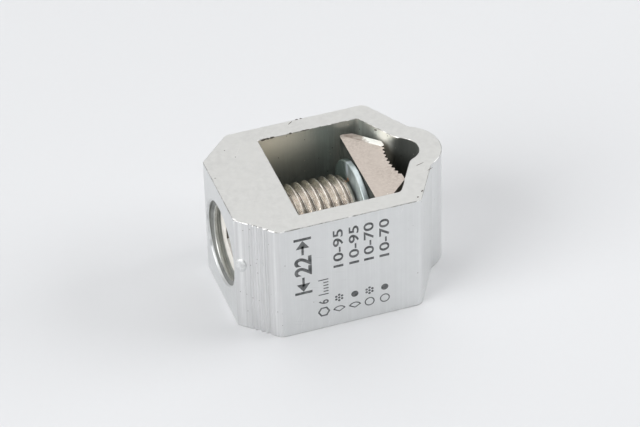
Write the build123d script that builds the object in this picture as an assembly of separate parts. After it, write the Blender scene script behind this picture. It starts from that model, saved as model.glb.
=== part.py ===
from build123d import *
import os
from math import asin, cos, degrees, radians, sin, sqrt

# Cable clamp: a headless screw in the thick wall of a short extruded aluminium body pushes a toothed
# pressure jaw along a window, and the jaw holds a conductor in the round seat inside the nose.
# All sizes are in millimetres. While the pieces are drawn, X runs along the screw from the
# threaded face to the nose, Y runs across and Z runs along the conductor. The finished
# pieces are moved so that the origin is at the middle of the footprint, on the bottom face.

# Body: one length of extrusion, sawn square at both ends
body_height = 21.5
body_length = 37.6
body_width = 27.2
threaded_face_width = 16.0
chamfer_corner_round = 1.6
face_corner_round = 0.4
shoulder_round = 1.1

# Nose: two flanks lean in towards a round end
vee_slope = 60.0
vee_setback = 4.95
nose_radius = 6.0
nose_root_round = 1.2

# Window: straight sides, two flanks along the outer ones and a round conductor seat
threaded_wall = 10.1
side_wall = 3.3
vee_wall = 3.6
nose_wall = 3.75
seat_radius = 3.15
seat_blend_round = 2.2
window_corner_round = 1.0

# Grip grooves drawn along one chamfer of the extrusion
groove_count = 4
groove_pitch = 0.92
groove_depth = 0.24
groove_radius = 0.34
groove_start = 2.9

# Screw: metric fine thread, hexagon socket at one end and a riveted spigot at the other
thread_radius = 7.0
thread_clearance = 0.05
hole_mouth_chamfer = 0.3
screw_recess = 1.95
screw_end_chamfer = 1.1
socket_across_flats = 6.0
socket_depth = 6.5
socket_cone_angle = 30.0
socket_turn = -31.0
spigot_radius = 2.5
rivet_head_radius = 3.4
rivet_head_thickness = 1.1
rivet_head_round = 0.5

# Thrust washer between the shoulder of the screw and the jaw
washer_thickness = 1.0
washer_edge_round = 0.2

# Pressure jaw: sawn from a bar with a toothed hollow along its front
jaw_thickness = 6.05
jaw_flank_width = 3.6
jaw_flank_slope = 44.0
jaw_corner_round = 0.7
bite_edge_land = 1.35
bite_radius = 12.4
tooth_pitch = 0.94
tooth_depth = 0.42
tooth_tip_width = 0.1
rivet_web = 3.3

# Fits
closed_gap = 0.27
jaw_side_gap = 1.1
jaw_end_gap = 1.6
washer_inset = 0.25
running_gap = 0.05
shoulder_gap = 0.45
rivet_side_gap = 0.2


# Lines and levels that several pieces share
axis_height = body_height / 2
window_half_width = body_width / 2 - side_wall
vee_normal = Vector(sin(radians(vee_slope)), cos(radians(vee_slope)))
nose_centre_x = body_length - nose_radius
outer_flank_offset = nose_centre_x * vee_normal.X + vee_setback
inner_flank_offset = outer_flank_offset - vee_wall
seat_centre_x = body_length - nose_wall - seat_radius

# The window sets the jaw's width and height, and the washer stays inside the back of the jaw
jaw_width = 2 * (window_half_width - jaw_side_gap)
jaw_front_width = jaw_width - 2 * jaw_flank_width
bite_width = jaw_front_width - 2 * bite_edge_land
jaw_height = body_height - 2 * jaw_end_gap
washer_radius = min(jaw_width, jaw_height) / 2 - washer_inset


def flank_x(offset, y):
    """X of a flank, given by its distance from the drawing origin, at a distance y off the axis."""
    return (offset - y * vee_normal.Y) / vee_normal.X


# The jaw is stored closed, so the flanks of the window place it and what pushes it
jaw_front_x = flank_x(inner_flank_offset - closed_gap, jaw_front_width / 2)
jaw_back_x = jaw_front_x - jaw_thickness
washer_back_x = jaw_back_x - running_gap - washer_thickness
screw_shoulder_x = washer_back_x - shoulder_gap
rivet_floor_x = jaw_back_x + rivet_web


def mirrored_outline(half_points):
    """A face bounded by a list of points on the +Y side and their mirror images."""
    other_half = [(x, -y) for x, y in reversed(half_points) if y > 0]
    return make_face(Polyline(*half_points, *other_half, close=True))


def corners_near(face, x, y):
    """The two corners of a face at x and at y either side of the axis."""
    return [face.vertices().sort_by_distance((x, side * y, 0))[0] for side in (1, -1)]


def flank_meets_circle(offset, centre_x, radius):
    """Where a flank enters a circle on the axis, on the side away from the nose."""
    reach = offset - centre_x * vee_normal.X
    half_chord = sqrt(radius**2 - reach**2)
    return (
        centre_x + reach * vee_normal.X - half_chord * vee_normal.Y,
        reach * vee_normal.Y + half_chord * vee_normal.X,
    )


def chamfer_grooves():
    """Circles along the -Y chamfer, each of which cuts one shallow groove."""
    inset = (body_width - threaded_face_width) / 2
    along = Vector(inset, -inset).normalized()
    outward = Vector(-1, -1).normalized()
    first = Vector(0, -threaded_face_width / 2) + along * groove_start
    lift = groove_radius - groove_depth
    centres = [first + along * groove_pitch * index + outward * lift for index in range(groove_count)]
    return [Pos(*centre) * Circle(groove_radius) for centre in centres]


def body_outline():
    half_width = body_width / 2
    half_face = threaded_face_width / 2
    inset = half_width - half_face
    shoulder_x = flank_x(outer_flank_offset, half_width)
    outline = mirrored_outline(
        [
            (0, half_face),
            (inset, half_width),
            (shoulder_x, half_width),
            (flank_x(outer_flank_offset, 0), 0),
        ]
    )
    outline = outline + Pos(nose_centre_x, 0) * Circle(nose_radius)
    nose_root = flank_meets_circle(outer_flank_offset, nose_centre_x, nose_radius)
    outline = fillet(corners_near(outline, *nose_root), nose_root_round)
    outline = fillet(corners_near(outline, shoulder_x, half_width), shoulder_round)
    outline = fillet(corners_near(outline, inset, half_width), chamfer_corner_round)
    outline = fillet(corners_near(outline, 0, half_face), face_corner_round)
    for groove in chamfer_grooves():
        outline = outline - groove
    return outline


def window_outline():
    corner_x = flank_x(inner_flank_offset, window_half_width)
    outline = mirrored_outline(
        [
            (threaded_wall, window_half_width),
            (corner_x, window_half_width),
            (flank_x(inner_flank_offset, 0), 0),
        ]
    )
    outline = outline + Pos(seat_centre_x, 0) * Circle(seat_radius)
    seat_mouth = flank_meets_circle(inner_flank_offset, seat_centre_x, seat_radius)
    outline = fillet(corners_near(outline, *seat_mouth), seat_blend_round)
    return fillet(corners_near(outline, corner_x, window_half_width), window_corner_round)


def about_screw_axis(profile_points):
    """A solid of revolution about the screw axis, from points given as distance along and radius."""
    profile = make_face(Polyline(*profile_points, close=True))
    return Pos(0, 0, axis_height) * revolve(profile, axis=Axis.X)


def clamp_body():
    body = extrude(body_outline() - window_outline(), body_height)
    hole_radius = thread_radius + thread_clearance
    mouth_radius = hole_radius + hole_mouth_chamfer
    hole_end = threaded_wall + side_wall
    return body - about_screw_axis(
        [
            (0, 0),
            (0, mouth_radius),
            (hole_mouth_chamfer, hole_radius),
            (hole_end, hole_radius),
            (hole_end, 0),
        ]
    )


def hexagon_socket():
    """The key socket, with the cone that its drill left at the bottom."""
    mouth = Plane.YZ.offset(screw_recess) * Pos(0, axis_height) * Rot(0, 0, socket_turn)
    hexagon = RegularPolygon(socket_across_flats / 2, 6, major_radius=False)
    cone_depth = socket_across_flats / 2 * sin(radians(socket_cone_angle)) / cos(radians(socket_cone_angle))
    bottom = screw_recess + socket_depth
    drill_point = about_screw_axis([(bottom, 0), (bottom, socket_across_flats / 2), (bottom + cone_depth, 0)])
    return extrude(mouth * hexagon, socket_depth) + drill_point


def clamp_screw():
    head_x = rivet_floor_x + running_gap
    head_end_x = head_x + rivet_head_thickness
    chamfered_radius = thread_radius - screw_end_chamfer
    screw = about_screw_axis(
        [
            (screw_recess, 0),
            (screw_recess, chamfered_radius),
            (screw_recess + screw_end_chamfer, thread_radius),
            (screw_shoulder_x - screw_end_chamfer, thread_radius),
            (screw_shoulder_x, chamfered_radius),
            (screw_shoulder_x, spigot_radius),
            (head_x, spigot_radius),
            (head_x, rivet_head_radius),
            (head_end_x, rivet_head_radius),
            (head_end_x, 0),
        ]
    )
    head_rim = screw.edges().filter_by(GeomType.CIRCLE).sort_by(Axis.X)[-1]
    return fillet(head_rim, rivet_head_round) - hexagon_socket()


def thrust_washer():
    bore_radius = spigot_radius + running_gap
    washer_front_x = washer_back_x + washer_thickness
    washer = about_screw_axis(
        [
            (washer_back_x, bore_radius),
            (washer_back_x, washer_radius),
            (washer_front_x, washer_radius),
            (washer_front_x, bore_radius),
        ]
    )
    rims = washer.edges().filter_by(GeomType.CIRCLE).group_by(SortBy.RADIUS)[-1]
    return fillet(rims, washer_edge_round)


def bite_teeth(centre_x):
    """Notches across the hollow front of the jaw, spaced evenly along its arc."""
    half_angle = degrees(asin(bite_width / 2 / bite_radius))
    step = degrees(tooth_pitch / bite_radius)
    gaps_each_side = int((half_angle - step / 2) / step)
    half_mouth = (tooth_pitch - tooth_tip_width) / 2
    outside = -tooth_depth
    notch = make_face(
        Polyline((outside, 2 * half_mouth), (tooth_depth, 0), (outside, -2 * half_mouth), close=True)
    )
    turns = [180 + step * index for index in range(-gaps_each_side, gaps_each_side + 1)]
    return [Pos(centre_x, 0) * Rot(0, 0, turn) * Pos(bite_radius, 0) * notch for turn in turns]


def jaw_outline():
    half_width = jaw_width / 2
    half_front = jaw_front_width / 2
    flank_run = jaw_flank_width * cos(radians(jaw_flank_slope)) / sin(radians(jaw_flank_slope))
    outline = mirrored_outline(
        [
            (jaw_back_x, half_width),
            (jaw_front_x - flank_run, half_width),
            (jaw_front_x, half_front),
        ]
    )
    outline = fillet(corners_near(outline, jaw_back_x, half_width), jaw_corner_round)
    bite_centre_x = jaw_front_x + sqrt(bite_radius**2 - (bite_width / 2) ** 2)
    outline = outline - Pos(bite_centre_x, 0) * Circle(bite_radius)
    for notch in bite_teeth(bite_centre_x):
        outline = outline - notch
    return outline


def pressure_jaw():
    jaw = Pos(0, 0, jaw_end_gap) * extrude(jaw_outline(), jaw_height)
    bore_radius = spigot_radius + running_gap
    recess_radius = rivet_head_radius + rivet_side_gap
    return jaw - about_screw_axis(
        [
            (jaw_back_x - running_gap, 0),
            (jaw_back_x - running_gap, bore_radius),
            (rivet_floor_x, bore_radius),
            (rivet_floor_x, recess_radius),
            (jaw_front_x + running_gap, recess_radius),
            (jaw_front_x + running_gap, 0),
        ]
    )


pieces = {
    "clamp_body": clamp_body(),
    "clamp_screw": clamp_screw(),
    "thrust_washer": thrust_washer(),
    "pressure_jaw": pressure_jaw(),
}
os.makedirs("parts", exist_ok=True)
for name, piece in pieces.items():
    export_step(Pos(-body_length / 2, 0, 0) * piece, f"parts/{name}.step")
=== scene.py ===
from math import cos, hypot, pi, radians, sin, tan

import bmesh
import bpy
from mathutils import Matrix, Vector, noise


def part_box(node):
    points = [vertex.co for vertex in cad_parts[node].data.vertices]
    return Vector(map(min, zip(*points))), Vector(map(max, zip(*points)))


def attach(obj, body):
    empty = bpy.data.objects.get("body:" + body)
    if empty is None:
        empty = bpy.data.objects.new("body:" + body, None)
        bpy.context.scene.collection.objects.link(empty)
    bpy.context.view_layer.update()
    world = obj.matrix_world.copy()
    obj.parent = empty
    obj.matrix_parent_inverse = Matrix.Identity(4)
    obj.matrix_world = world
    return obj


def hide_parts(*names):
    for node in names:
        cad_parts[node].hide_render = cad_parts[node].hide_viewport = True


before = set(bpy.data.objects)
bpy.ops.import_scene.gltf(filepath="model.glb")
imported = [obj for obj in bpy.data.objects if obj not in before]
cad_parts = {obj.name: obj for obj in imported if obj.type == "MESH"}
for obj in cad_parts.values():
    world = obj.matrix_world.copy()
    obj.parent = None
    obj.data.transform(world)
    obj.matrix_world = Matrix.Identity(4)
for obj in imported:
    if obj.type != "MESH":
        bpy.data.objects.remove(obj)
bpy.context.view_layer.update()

bl_info = {
    "name": "V-shaped cable clamp",
    "version": (1, 0, 0),
    "blender": (4, 5, 0),
    "location": "3D View > Sidebar > Cable clamp",
    "description": "Models the pieces, threads and marks of a cable clamp around its frame",
    "category": "Add Mesh",
}

# Sizes are in metres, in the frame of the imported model: X along the screw, Z along the conductor
MM = 0.001
BODY_LOW, BODY_HIGH = (Vector(corner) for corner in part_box("clamp_body"))
SCREW_LOW, SCREW_HIGH = (Vector(corner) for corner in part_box("clamp_screw"))
WASHER_LOW, WASHER_HIGH = (Vector(corner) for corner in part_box("thrust_washer"))
JAW_LOW, JAW_HIGH = (Vector(corner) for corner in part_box("pressure_jaw"))
AXIS_HEIGHT = (BODY_LOW.z + BODY_HIGH.z) / 2
THREAD_RADIUS = (SCREW_HIGH.z - SCREW_LOW.z) / 2


def length(name, value_mm, description):
    """A length property, with its default given in millimetres."""
    return bpy.props.FloatProperty(
        name=name, description=description, default=value_mm * MM, unit="LENGTH", precision=5, min=0.0
    )


def colour(name, rgb, description):
    """A colour property, in linear light."""
    return bpy.props.FloatVectorProperty(
        name=name, description=description, default=rgb, subtype="COLOR", size=3, min=0.0, max=1.0
    )


def factor(name, value, description):
    """A plain number between 0 and 1."""
    return bpy.props.FloatProperty(
        name=name, description=description, default=value, subtype="FACTOR", min=0.0, max=1.0
    )


def angle(name, value_degrees, description):
    """An angle property, with its default given in degrees."""
    return bpy.props.FloatProperty(
        name=name, description=description, default=radians(value_degrees), unit="ROTATION"
    )


def measure(name, value, unit, description):
    """A property in one of Blender's units."""
    return bpy.props.FloatProperty(name=name, description=description, default=value, unit=unit)


class ClampBodySettings(bpy.types.PropertyGroup):
    """Sizes and finish of the extruded body"""

    edge_break: length("Edge break", 0.09, "Width of the bevel along the sawn edges, before wear")
    wear_step: length("Wear step", 0.55, "Spacing of the points at which the worn bevel changes its width")
    dent_size: length("Dent size", 3.0, "Length of the raised dent on the grooved chamfer")
    dent_height: length("Dent height", 0.41, "How far the dent is raised")
    threaded_wall: length("Threaded wall", 10.1, "Thickness of the wall that holds the screw")
    hole_radius: length("Hole radius", 7.05, "Radius of the plain bore behind the thread")
    sawn_colour: colour("Sawn ends", (0.675, 0.675, 0.66), "Colour of the sawn ends")
    drawn_colour: colour("Drawn sides", (0.83, 0.84, 0.84), "Colour of the extruded sides")
    window_colour: colour("Window walls", (0.80, 0.865, 0.815), "Colour of the walls of the window")


class ClampThreadSettings(bpy.types.PropertyGroup):
    """Sizes of the thread and the screw"""

    pitch: length("Pitch", 1.5, "How far the screw moves in one turn")
    flank_gap: length("Flank gap", 0.03, "Clearance between the screw's thread and the hole's")
    crest_drop: length("Crest drop", 0.03, "How far the crests stay under the nominal radius")
    end_chamfer: length("End chamfer", 1.1, "Chamfer on both ends of the screw")
    shoulder_x: length("Shoulder", 3.264, "Where the threaded part ends, along X")
    spigot_radius: length("Spigot radius", 2.5, "Radius of the spigot that carries washer and jaw")
    head_radius: length("Head radius", 3.4, "Radius of the riveted head in the jaw")
    head_thickness: length("Head thickness", 1.1, "Thickness of the riveted head")
    socket_flats: length("Socket across flats", 6.0, "Width of the hexagon socket across its flats")
    socket_depth: length("Socket depth", 6.5, "Depth of the hexagon socket")
    socket_turn: angle("Socket turn", -31.0, "Turn of the socket about the screw axis")
    sleeve_inset: length("Sleeve inset", 0.02, "How far the tapped sleeve stays inside the bore")
    lead_depth: length("Lead depth", 0.25, "Plain depth of the hole before its thread begins")
    edge_break: length("Edge break", 0.09, "Width of the burnished edges of the hole's thread")
    # the thread of the hole is given a darker grey within this depth from the mouth
    darker_depth: length("Dull depth", 0.95, "Depth to which the thread of the hole has gone dull")
    sleeve_seat: length("Sleeve seat", 0.15, "How deep the tapped sleeve is sunk in the wall of the bore")
    steps: bpy.props.IntProperty(
        name="Steps", description="Steps in one turn of the thread", default=96, min=24, subtype="UNSIGNED"
    )


class ClampMarkSettings(bpy.types.PropertyGroup):
    """Sizes and colour of the marks printed on the front"""

    digit_height: length("Digit height", 1.7, "Height of the digits, across the rows")
    row_length: length("Row length", 7.6, "Length of a row of digits, along Z")
    row_end: length("Row end", 19.5, "Height at which the rows of digits end")
    symbol_size: length("Symbol size", 1.7, "Diameter of the conductor symbols")
    symbol_height: length("Symbol height", 3.3, "Height of the middle of the first symbol")
    line_width: length("Line width", 0.2, "Width of the thin lines")
    gauge_line: length("Gauge line", 0.5, "Width of the lines of the strip gauge")
    gauge_size: length("Gauge digits", 2.9, "Height of the digits on the strip gauge")
    ink_thickness: length("Ink thickness", 0.008, "How far the ink stands proud of the metal")
    ink_colour: colour("Ink", (0.065, 0.07, 0.072), "Colour of the ink")
    worn_colour: colour("Worn ink", (0.26, 0.27, 0.27), "Colour of the ink where it is worn thin")


class ClampStageSettings(bpy.types.PropertyGroup):
    """Camera, floor and lights"""

    azimuth: angle("Azimuth", 18.0714, "Turn of the line of sight from +Y towards +X")
    elevation: angle("Elevation", 38.462, "Angle of the line of sight below the horizon")
    roll: angle("Roll", -1.5251, "Roll of the camera about the line of sight")
    distance: length("Distance", 522.456, "Distance from the camera to its aim")
    lens: measure("Lens", 180.68, "CAMERA", "Focal length")
    floor_colour: colour("Floor", (0.680, 0.688, 0.702), "Colour of the floor")
    world_level: factor("World", 0.376, "Strength of the even light")
    top_watts: measure("Top softbox", 7.8, "POWER", "Power of the light above")
    left_watts: measure("Left softbox", 5.6, "POWER", "Power of the light at the threaded end")
    front_watts: measure("Front softbox", 0.1, "POWER", "Power of the light behind the camera")
    right_watts: measure("Right softbox", 2.5, "POWER", "Power of the light at the nose")


class ClampSettings(bpy.types.PropertyGroup):
    """All settings of the clamp"""

    body: bpy.props.PointerProperty(type=ClampBodySettings)
    thread: bpy.props.PointerProperty(type=ClampThreadSettings)
    marks: bpy.props.PointerProperty(type=ClampMarkSettings)
    stage: bpy.props.PointerProperty(type=ClampStageSettings)


# Selecting and shaping

# Vertices closer than the first length are one, and a cut finds its plane to within the second
WELD, CUT_PRECISION = 0.0005 * MM, 0.0001 * MM


def only(*objects):
    """Selects just these objects, the last of them active, in object mode."""
    if bpy.context.object and bpy.context.object.mode != "OBJECT":
        bpy.ops.object.mode_set(mode="OBJECT")
    bpy.ops.object.select_all(action="DESELECT")
    for obj in objects:
        obj.select_set(True)
        bpy.context.view_layer.objects.active = obj


def add(primitive, name=None, location=(0, 0, 0), **settings):
    """Adds an object with nothing else selected, and returns it."""
    bpy.ops.object.select_all(action="DESELECT")
    primitive(location=location, **settings)
    obj = bpy.context.object
    if name:
        obj.name = name
    return obj


def joined(pieces, name):
    """Joins pieces into one object, named after what they make."""
    only(*pieces)
    bpy.ops.object.join()
    obj = bpy.context.object
    obj.name = name
    return obj


def edit(obj):
    """Opens a mesh in edit mode and returns its bmesh."""
    only(obj)
    bpy.ops.object.mode_set(mode="EDIT")
    bpy.ops.mesh.select_mode(type="VERT")
    return bmesh.from_edit_mesh(obj.data)


def edit_all(obj):
    """Opens a mesh in edit mode with all of it selected."""
    edit(obj)
    bpy.ops.mesh.select_all(action="SELECT")


def close_edit():
    bpy.ops.object.mode_set(mode="OBJECT")


def apply_modifier(obj, kind, **settings):
    """Adds a modifier with these settings and applies it."""
    only(obj)
    modifier = obj.modifiers.new(kind.title(), kind)
    for key, value in settings.items():
        setattr(modifier, key, value)
    bpy.ops.object.modifier_apply(modifier=modifier.name)


def set_down(obj, placing=None):
    """Moves the object's place, turn and scale into its mesh, after placing it by a matrix if one is given."""
    if placing:
        obj.matrix_world = placing
    only(obj)
    bpy.ops.object.transform_apply(location=True, rotation=True, scale=True)


# At a vertex where two faces meet at more than the first angle, every edge turned by more than the second
# is sharp, in degrees
CORNER_TURN, FLAT_TURN = 75.0, 4.0


def smooth_by_angle(obj, limit=28.0, crease_slots=()):
    """Shades smooth up to an angle, but not round the faces of some slots. Large faces hold the normals."""
    only(obj)
    bpy.ops.object.shade_smooth_by_angle(angle=radians(limit))
    mesh = edit(obj)
    for edge in mesh.edges:
        slots = {face.material_index for face in edge.link_faces}
        if len(slots) == 2 and slots & set(crease_slots):
            edge.smooth = False
    for vert in mesh.verts:
        turns = {edge: edge.calc_face_angle(0.0) for edge in vert.link_edges}
        if max(turns.values(), default=0.0) > radians(CORNER_TURN):
            for edge, turn in turns.items():
                if turn > radians(FLAT_TURN):
                    edge.smooth = False
    bmesh.update_edit_mesh(obj.data)
    close_edit()
    apply_modifier(obj, "WEIGHTED_NORMAL", mode="FACE_AREA", weight=50, keep_sharp=True)


def dress(obj, materials, slot_of=lambda face: 0):
    """Gives a piece its materials, and each of its faces the slot that is picked for it."""
    obj.data.materials.clear()
    for material in materials:
        obj.data.materials.append(material)
    for face in obj.data.polygons:
        face.material_index = slot_of(face)


def node_copy(node, name, join_flats=True):
    """A copy of a CAD node's mesh, with its triangles welded and, if wanted, its flat faces joined."""
    piece = bpy.data.objects.new(name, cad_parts[node].data.copy())
    bpy.context.scene.collection.objects.link(piece)
    edit_all(piece)
    bpy.ops.mesh.remove_doubles(threshold=WELD)
    if join_flats:
        bpy.ops.mesh.dissolve_limited(angle_limit=radians(0.3))
    close_edit()
    return piece


def draw_line(name, points, closed=False):
    """A chain or loop of edges in the XZ plane through (x, z) points, drawn by extruding one vertex."""
    obj = add(bpy.ops.mesh.primitive_plane_add, name, size=MM)
    mesh = edit(obj)
    mesh.verts.ensure_lookup_table()
    for vert in mesh.verts:
        vert.select = vert.index != 0
    bpy.ops.mesh.delete(type="VERT")
    mesh = bmesh.from_edit_mesh(obj.data)
    mesh.verts.ensure_lookup_table()
    first = mesh.verts[0]
    first.co = (points[0][0], 0, points[0][1])
    first.select = True
    bmesh.update_edit_mesh(obj.data)
    for (x0, z0), (x1, z1) in zip(points, points[1:]):
        bpy.ops.mesh.extrude_vertices_move(TRANSFORM_OT_translate={"value": (x1 - x0, 0, z1 - z0)})
    if closed:
        mesh = bmesh.from_edit_mesh(obj.data)
        for vert in mesh.verts:
            vert.select = len(vert.link_edges) == 1
        mesh.select_flush_mode()
        bmesh.update_edit_mesh(obj.data)
        bpy.ops.mesh.edge_face_add()
    close_edit()
    return obj


def recalculate(obj):
    """Welds a mesh and turns its normals outwards."""
    edit_all(obj)
    bpy.ops.mesh.remove_doubles(threshold=WELD)
    bpy.ops.mesh.normals_make_consistent(inside=False)
    close_edit()


def wind(obj, steps, merge_mm, **settings):
    """Sweeps a line about the X axis, in some steps to the turn."""
    apply_modifier(
        obj,
        "SCREW",
        axis="X",
        steps=steps,
        render_steps=steps,
        use_merge_vertices=True,
        merge_threshold=merge_mm * MM,
        **settings,
    )


def turned(name, points, steps=96, closed=False):
    """A solid turned about the X axis, from (x, radius) points that end on the axis or close a loop."""
    obj = draw_line(name, points, closed)
    wind(obj, steps, 0.0002)
    recalculate(obj)
    return obj


def lift_to_axis(obj):
    obj.location.z = AXIS_HEIGHT
    set_down(obj)


def cut(obj, place, normal, keep_above=False, fill=True):
    """Saws a mesh along a plane and keeps what lies below it, or above it."""
    edit_all(obj)
    bpy.ops.mesh.bisect(
        plane_co=place,
        plane_no=normal,
        use_fill=fill,
        clear_inner=keep_above,
        clear_outer=not keep_above,
        threshold=CUT_PRECISION,
    )
    close_edit()


def combine(obj, tool, operation):
    """Applies a Boolean with another solid, which is then deleted."""
    apply_modifier(obj, "BOOLEAN", operation=operation, object=tool, solver="EXACT")
    only(tool)
    bpy.ops.object.delete()
    only(obj)


# Material nodes

def feed(tree, node, inputs):
    """Gives inputs of a node their values or links them to the outputs of other nodes."""
    for socket, value in inputs.items():
        if isinstance(value, bpy.types.NodeSocket):
            tree.links.new(value, node.inputs[socket])
        else:
            node.inputs[socket].default_value = value


def put(tree, kind, inputs, **settings):
    """Adds a node with its settings and inputs, and returns its outputs."""
    node = tree.nodes.new(kind)
    for key, value in settings.items():
        setattr(node, key, value)
    feed(tree, node, inputs)
    return node.outputs


def calculate(tree, operation, *numbers, clamp=False):
    return put(tree, "ShaderNodeMath", dict(enumerate(numbers)), operation=operation, use_clamp=clamp)[0]


def vector_from(tree, **axes):
    return put(tree, "ShaderNodeCombineXYZ", axes)[0]


def object_place(tree):
    return put(tree, "ShaderNodeTexCoord", {})["Object"]


def object_axes(tree):
    """The X, Y and Z of a place on the object."""
    return put(tree, "ShaderNodeSeparateXYZ", {0: object_place(tree)})


def noise_at(tree, place, scale, detail, roughness, distortion=0.0):
    values = {"Detail": detail, "Roughness": roughness, "Distortion": distortion}
    return put(tree, "ShaderNodeTexNoise", {"Vector": place, "Scale": scale, **values})["Fac"]


def mottle_mask(tree, inputs):
    """Soft blotches, such as an oxide film or finger marks leave."""
    centred = calculate(tree, "SUBTRACT", noise_at(tree, object_place(tree), inputs["Scale"], 3.0, 0.55, 0.3), 0.5)
    return calculate(tree, "MULTIPLY_ADD", centred, inputs["Contrast"], 0.5, clamp=True)


def die_line_mask(tree, inputs):
    """Fine lines that the extrusion die leaves along Z."""
    axes = object_axes(tree)
    along = calculate(tree, "MULTIPLY", axes["Z"], inputs["Length"])
    place = vector_from(tree, X=axes["X"], Y=axes["Y"], Z=along)
    lines = noise_at(tree, place, inputs["Scale"], 4.0, 0.7)
    return calculate(tree, "MULTIPLY_ADD", lines, 2.4, -0.7, clamp=True)


def turning_mask(tree, inputs):
    """Streaks that follow the thread, at equal radius from the screw axis."""
    axes = object_axes(tree)
    spoke = vector_from(tree, Y=axes["Y"], Z=calculate(tree, "SUBTRACT", axes["Z"], AXIS_HEIGHT))
    radius = put(tree, "ShaderNodeVectorMath", {0: spoke}, operation="LENGTH")["Value"]
    short = {0: object_place(tree), "Scale": inputs["Length"]}
    ends = {0: put(tree, "ShaderNodeVectorMath", short, operation="SCALE")[0], 1: vector_from(tree, X=radius)}
    place = put(tree, "ShaderNodeVectorMath", ends, operation="ADD")[0]
    streaks = noise_at(tree, place, inputs["Scale"], 3.0, 0.65)
    return calculate(tree, "MULTIPLY_ADD", streaks, 3.2, -1.1, clamp=True)


def spots(tree, cells, size, share):
    """Spots of a size round the points of some of the cells."""
    near = calculate(tree, "SUBTRACT", size, cells["Distance"])
    sharp = calculate(tree, "MULTIPLY", near, 20.0, clamp=True)
    draw = put(tree, "ShaderNodeSeparateColor", {0: cells["Color"]})[0]
    return calculate(tree, "MULTIPLY", sharp, calculate(tree, "LESS_THAN", draw, share))


def speck_mask(tree, inputs):
    """Small pits and specks, scattered thinly."""
    cells = put(tree, "ShaderNodeTexVoronoi", {"Vector": object_place(tree), "Scale": inputs["Scale"]})
    return spots(tree, cells, inputs["Size"], inputs["Share"])


def scratch_mask(tree, inputs):
    """Short thin scratches, on upright faces or on the sawn ends."""
    axes = object_axes(tree)
    skew = calculate(tree, "MULTIPLY", inputs["Upright"], -0.8)
    across = calculate(tree, "MULTIPLY_ADD", axes["Y"], skew, axes["X"])
    up = put(tree, "ShaderNodeMix", {"Factor": inputs["Upright"], "A": axes["Y"], "B": axes["Z"]})[0]
    flat = {"Vector": vector_from(tree, X=across, Y=up), "Angle": inputs["Turn"]}
    skewed = put(tree, "ShaderNodeVectorRotate", flat, rotation_type="Z_AXIS")[0]
    sides = put(tree, "ShaderNodeSeparateXYZ", {0: skewed})
    squashed = vector_from(tree, X=calculate(tree, "MULTIPLY", sides["X"], inputs["Stretch"]), Y=sides["Y"])
    place = {"Vector": squashed, "Scale": inputs["Scale"]}
    cells = put(tree, "ShaderNodeTexVoronoi", place, voronoi_dimensions="2D")
    return spots(tree, cells, inputs["Width"], inputs["Share"])


# The shared effects, with the defaults of their inputs. Each puts out one mask from 0 to 1
EFFECTS = {
    "Mottle": (mottle_mask, {"Scale": 200.0, "Contrast": 2.0}),
    "Die lines": (die_line_mask, {"Scale": 3000.0, "Length": 0.01}),
    "Turning marks": (turning_mask, {"Scale": 3000.0, "Length": 0.08}),
    "Specks": (speck_mask, {"Scale": 900.0, "Size": 0.12, "Share": 0.2}),
    "Scratches": (
        scratch_mask,
        {"Scale": 2500.0, "Stretch": 0.017, "Turn": 0.3, "Width": 0.06, "Share": 0.3, "Upright": 1.0},
    ),
}


def new_group(name):
    """The shader group of a shared effect."""
    mask_of, defaults = EFFECTS[name]
    group = bpy.data.node_groups.new(name, "ShaderNodeTree")
    for socket_name, default in defaults.items():
        socket = group.interface.new_socket(socket_name, in_out="INPUT", socket_type="NodeSocketFloat")
        socket.default_value = default
    group.interface.new_socket("Mask", in_out="OUTPUT", socket_type="NodeSocketFloat")
    start, end = group.nodes.new("NodeGroupInput"), group.nodes.new("NodeGroupOutput")
    feed(group, end, {"Mask": mask_of(group, start.outputs)})
    return group


def effect(tree, name, **inputs):
    """The mask of a shared effect, whose group is made the first time it is asked for."""
    group = bpy.data.node_groups.get(name) or new_group(name)
    return put(tree, "ShaderNodeGroup", inputs, node_tree=group)[0]


def mottle(tree, scale, contrast):
    return effect(tree, "Mottle", Scale=scale, Contrast=contrast)


def specks(tree, scale, size, share):
    return effect(tree, "Specks", Scale=scale, Size=size, Share=share)


def scratches(tree, turn, share, upright):
    return effect(tree, "Scratches", Turn=turn, Share=share, Upright=upright)


def die_lines(tree, scale, reach):
    return effect(tree, "Die lines", Scale=scale, Length=reach)


def turning_marks(tree, scale, reach):
    return effect(tree, "Turning marks", Scale=scale, Length=reach)


def span(tree, mask, low, high):
    """A number that goes from low to high as the mask does."""
    return put(tree, "ShaderNodeMapRange", {"Value": mask, "To Min": low, "To Max": high})[0]


def bump(tree, height, distance_mm, strength=0.8):
    values = {"Height": height, "Distance": distance_mm * MM, "Strength": strength}
    return put(tree, "ShaderNodeBump", values)["Normal"]


def shade(rgb, share):
    """A colour made darker or lighter by a share."""
    return tuple(min(1.0, channel * share) for channel in rgb)


def blend(tree, mask, low, high):
    """A colour that goes from low to high as the mask does."""
    low, high = (value if isinstance(value, bpy.types.NodeSocket) else (*value, 1.0) for value in (low, high))
    return put(tree, "ShaderNodeMix", {"Factor": mask, 6: low, 7: high}, data_type="RGBA")[2]


def layers(tree, base, *coats):
    """A base colour under coats of (mask, colour), each of which shows as far as its mask does."""
    for mask, rgb in coats:
        base = blend(tree, mask, base, rgb)
    return base


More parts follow.
